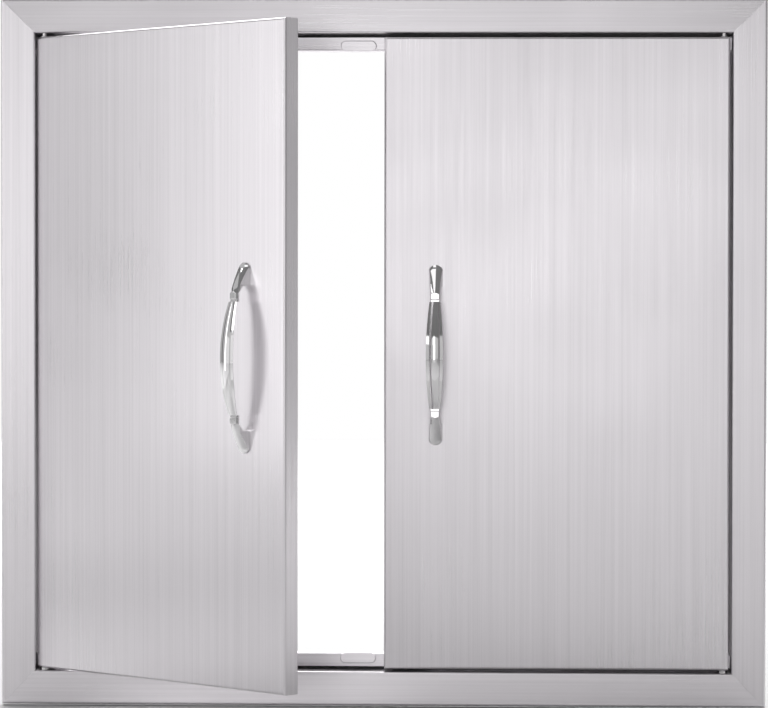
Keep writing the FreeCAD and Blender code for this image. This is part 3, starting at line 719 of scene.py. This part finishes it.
def doorSpots():
    # on the shut right door: both upright returns, the level ones as far as the strike plates
    w = weldPlaces
    low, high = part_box("right_door_skin")
    plateLow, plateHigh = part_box("right_strike_plates")
    points, edges = [], []
    for x in (low.x + w["returnInset"], high.x - w["returnInset"]):
        lineOfSpots(points, edges, [(x, high.y, low.z + w["endInset"]),
                                    (x, high.y, high.z - w["endInset"])])
    for z in (low.z + w["returnInset"], high.z - w["returnInset"]):
        lineOfSpots(points, edges, [(plateHigh.x + w["endInset"], high.y, z),
                                    (high.x - w["endInset"], high.y, z)])
    for z in (plateLow.z + w["strikeEdge"], plateHigh.z - w["strikeEdge"]):
        lineOfSpots(points, edges, [(plateLow.x + w["strikeInset"], plateHigh.y, z),
                                    (plateHigh.x - w["strikeInset"], plateHigh.y, z)])
    return points, edges


def frameSpots():
    # round each corner plate, seen from behind
    points, edges = [], []
    for nodeName in nodes:
        if "corner_plate" not in nodeName:
            continue
        low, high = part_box(nodeName)
        half = weldPlaces["legHalf"]
        x, xEnd = (high.x - half, low.x + half) if low.x > 0 else (low.x + half, high.x - half)
        z, zEnd = (high.z - half, low.z + half) if low.z > 0 else (low.z + half, high.z - half)
        lineOfSpots(points, edges, [(xEnd, high.y, z), (x, high.y, z), (x, high.y, zEnd)])
    return points, edges


def mirrored(points, side):
    return [(side * x, y, z) for x, y, z in points]


seats, screwSizes = screwPoints()
spots, spotEdges = doorSpots()
for sideName, side in (("left", -1), ("right", 1)):
    turnedPlace = openPlace(side, Matrix.Identity(4))
    screws = grownPiece(sideName + "HexScrews", mirrored(seats, side), [], hexScrews,
                        screwSizes, turnedPlace)
    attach(screws, sideName + "_door")
    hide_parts(sideName + "_handle_screws")
    welds = grownPiece(sideName + "DoorWelds", mirrored(spots, side), spotEdges, weldLines,
                       dict(weldSpots, Seed=weldPlaces["seed"] + side), turnedPlace)
    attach(welds, sideName + "_door")
plateSpots = dict(weldSpots, Spacing=weldPlaces["plateSpacing"], Seed=weldPlaces["seed"])
spots, spotEdges = frameSpots()
welds = grownPiece("frameWelds", spots, spotEdges, weldLines, plateSpots, Matrix.Identity(4))
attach(welds, "frame")
print("screws and weld spots made")


# studio

studio = {
    "floorDrop": 0.0015,
    "floorSide": 6.0,
    "floorFront": 4.0,     # it ends under the front boxes
    "floorBack": 4.8,
    "boxes": {
        # place and aim in metres, size across and up, glow as the box's own brightness
        "frontBox": {"place": (-0.3, -4.0, 0.33), "aim": (-0.3, 0.0, 0.33),
                     "size": (6.2, 1.26), "glow": 0.42},
        "frontHighBox": {"place": (-0.5, -3.97, 0.73), "aim": (-0.5, 0.0, 0.73),
                         "size": (2.0, 0.46), "glow": 0.85},
        "frontLowBox": {"place": (-0.25, -3.97, 0.1), "aim": (-0.25, 0.0, 0.1),
                        "size": (1.5, 0.8), "glow": 1.1},
        "leftWing": {"place": (-3.6, -2.9, 0.33), "aim": (0.0, -0.3, 0.33),
                     "size": (2.6, 1.26), "glow": 0.35},
        "rightWing": {"place": (3.5, -2.9, 0.33), "aim": (0.0, -0.3, 0.33),
                      "size": (2.6, 1.26), "glow": 0.12},
        "leftBox": {"place": (-1.0, -0.6, 0.28), "aim": (0.0, -0.6, 0.28),
                    "size": (1.6, 1.04), "glow": 0.33},
        "leftHighBox": {"place": (-0.98, -0.42, 0.2), "aim": (0.0, -0.42, 0.2),
                        "size": (0.22, 0.66), "glow": 1.75},
        "rightBox": {"place": (1.5, 0.2, 0.0), "aim": (0.0, 0.1, 0.0),
                     "size": (0.6, 1.2), "glow": 0.6},
        "backBox": {"place": (0.0, 3.4, 2.6), "aim": (0.0, 3.4, 0.0),
                    "size": (6.0, 5.6), "glow": 3.5},
        "topBox": {"place": (-0.32, -1.6, 2.2), "aim": (-0.32, -1.6, 0.0),
                   "size": (0.55, 2.0), "glow": 1.0},
        "lowBox": {"place": (0.0, -2.3, -0.3), "aim": (0.0, -2.3, 1.0),
                   "size": (2.6, 3.0), "glow": 0.13},
    },
    "paperDark": (0.66, 0.66, 0.66),
    "paperLight": (0.70, 0.70, 0.70),
    "paperRoughness": 0.7,
    "worldLow": 0.10,      # what the steel mirrors where no box stands, below and above
    "worldHigh": 0.20,
    "worldFrom": -0.35,    # over this span of a ray's rise
    "worldTo": 0.5,
}


def softBox(name, box):
    width, height = box["size"]
    light = bpy.data.lights.new(name, "AREA")
    light.shape = "RECTANGLE"
    light.size, light.size_y = width, height
    light.energy = box["glow"] * math.pi * width * height
    lamp = bpy.data.objects.new(name, light)
    lamp.location = box["place"]
    way = Vector(box["aim"]) - lamp.location
    lamp.rotation_euler = way.to_track_quat("-Z", "Y").to_euler()
    lamp.visible_camera = False
    scene.collection.objects.link(lamp)


def studioWorld():
    world = bpy.data.worlds.new("studio")
    scene.world = world
    world.use_nodes = True
    tree = world.node_tree
    tree.nodes.clear()
    way = addNode(tree, "ShaderNodeTexCoord").outputs["Generated"]
    split = addNode(tree, "ShaderNodeSeparateXYZ", {"Vector": way})
    glow = ranged(tree, split.outputs["Z"], studio["worldLow"], studio["worldHigh"],
                  studio["worldFrom"], studio["worldTo"])
    soft = addNode(tree, "ShaderNodeBackground", {"Color": (1, 1, 1, 1), "Strength": glow})
    paper = addNode(tree, "ShaderNodeBackground", {"Color": (1, 1, 1, 1), "Strength": 1.0})
    seen = addNode(tree, "ShaderNodeLightPath").outputs["Is Camera Ray"]
    mix = addNode(tree, "ShaderNodeMixShader", {
        0: seen, 1: soft.outputs["Background"], 2: paper.outputs["Background"]})
    addNode(tree, "ShaderNodeOutputWorld", {"Surface": mix.outputs["Shader"]})


def studioFloor():
    level = cadBox[0][2] - studio["floorDrop"]
    side, front, back = studio["floorSide"], studio["floorFront"], studio["floorBack"]
    data = bpy.data.meshes.new("studioFloor")
    data.from_pydata([(-side, -front, level), (side, -front, level),
                      (side, back, level), (-side, back, level)], [], [(0, 1, 2, 3)])
    floor = bpy.data.objects.new("studioFloor", data)
    scene.collection.objects.link(floor)
    material, tree, shader = newMaterial("palePaper")
    coords = addNode(tree, "ShaderNodeTexCoord").outputs["Object"]
    fibre = stretchedNoise(tree, coords, (30.0, 30.0, 30.0), 3.0)
    tree.links.new(tinted(tree, fibre, studio["paperDark"], studio["paperLight"]),
                   shader.inputs["Base Color"])
    shader.inputs["Roughness"].default_value = studio["paperRoughness"]
    finish(floor, material)


studioWorld()
studioFloor()
for boxName, box in studio["boxes"].items():
    softBox(boxName, box)

cameraPlace = {
    "place": (0.1771, -2.5606, 0.0455),
    "yaw": -1.54,          # degrees to the right of +Y
    "pitch": -1.036,       # degrees up
    "roll": 0.117,
    "focalPixels": 2965.8,
    "opticalColumn": 508.5,   # picture column that the lens axis meets
    "pictureWidth": 768.0,
    "sensorWidth": 36.0,
}


def addCamera():
    c = cameraPlace
    lens = bpy.data.cameras.new("camera")
    lens.sensor_width = c["sensorWidth"]
    lens.lens = c["focalPixels"] * c["sensorWidth"] / c["pictureWidth"]
    lens.shift_x = (c["pictureWidth"] / 2 - c["opticalColumn"]) / c["pictureWidth"]
    lens.clip_start, lens.clip_end = 0.05, 60.0
    camera = bpy.data.objects.new("camera", lens)
    turn = Matrix.Rotation(math.radians(-c["yaw"]), 4, "Z")
    tilt = Matrix.Rotation(math.radians(90 + c["pitch"]), 4, "X")
    roll = Matrix.Rotation(math.radians(c["roll"]), 4, "Z")
    camera.matrix_world = Matrix.Translation(Vector(c["place"])) @ turn @ tilt @ roll
    scene.collection.objects.link(camera)
    scene.camera = camera


addCamera()
scene.view_settings.view_transform = "Standard"
scene.view_settings.look = "None"
print("studio and camera set")
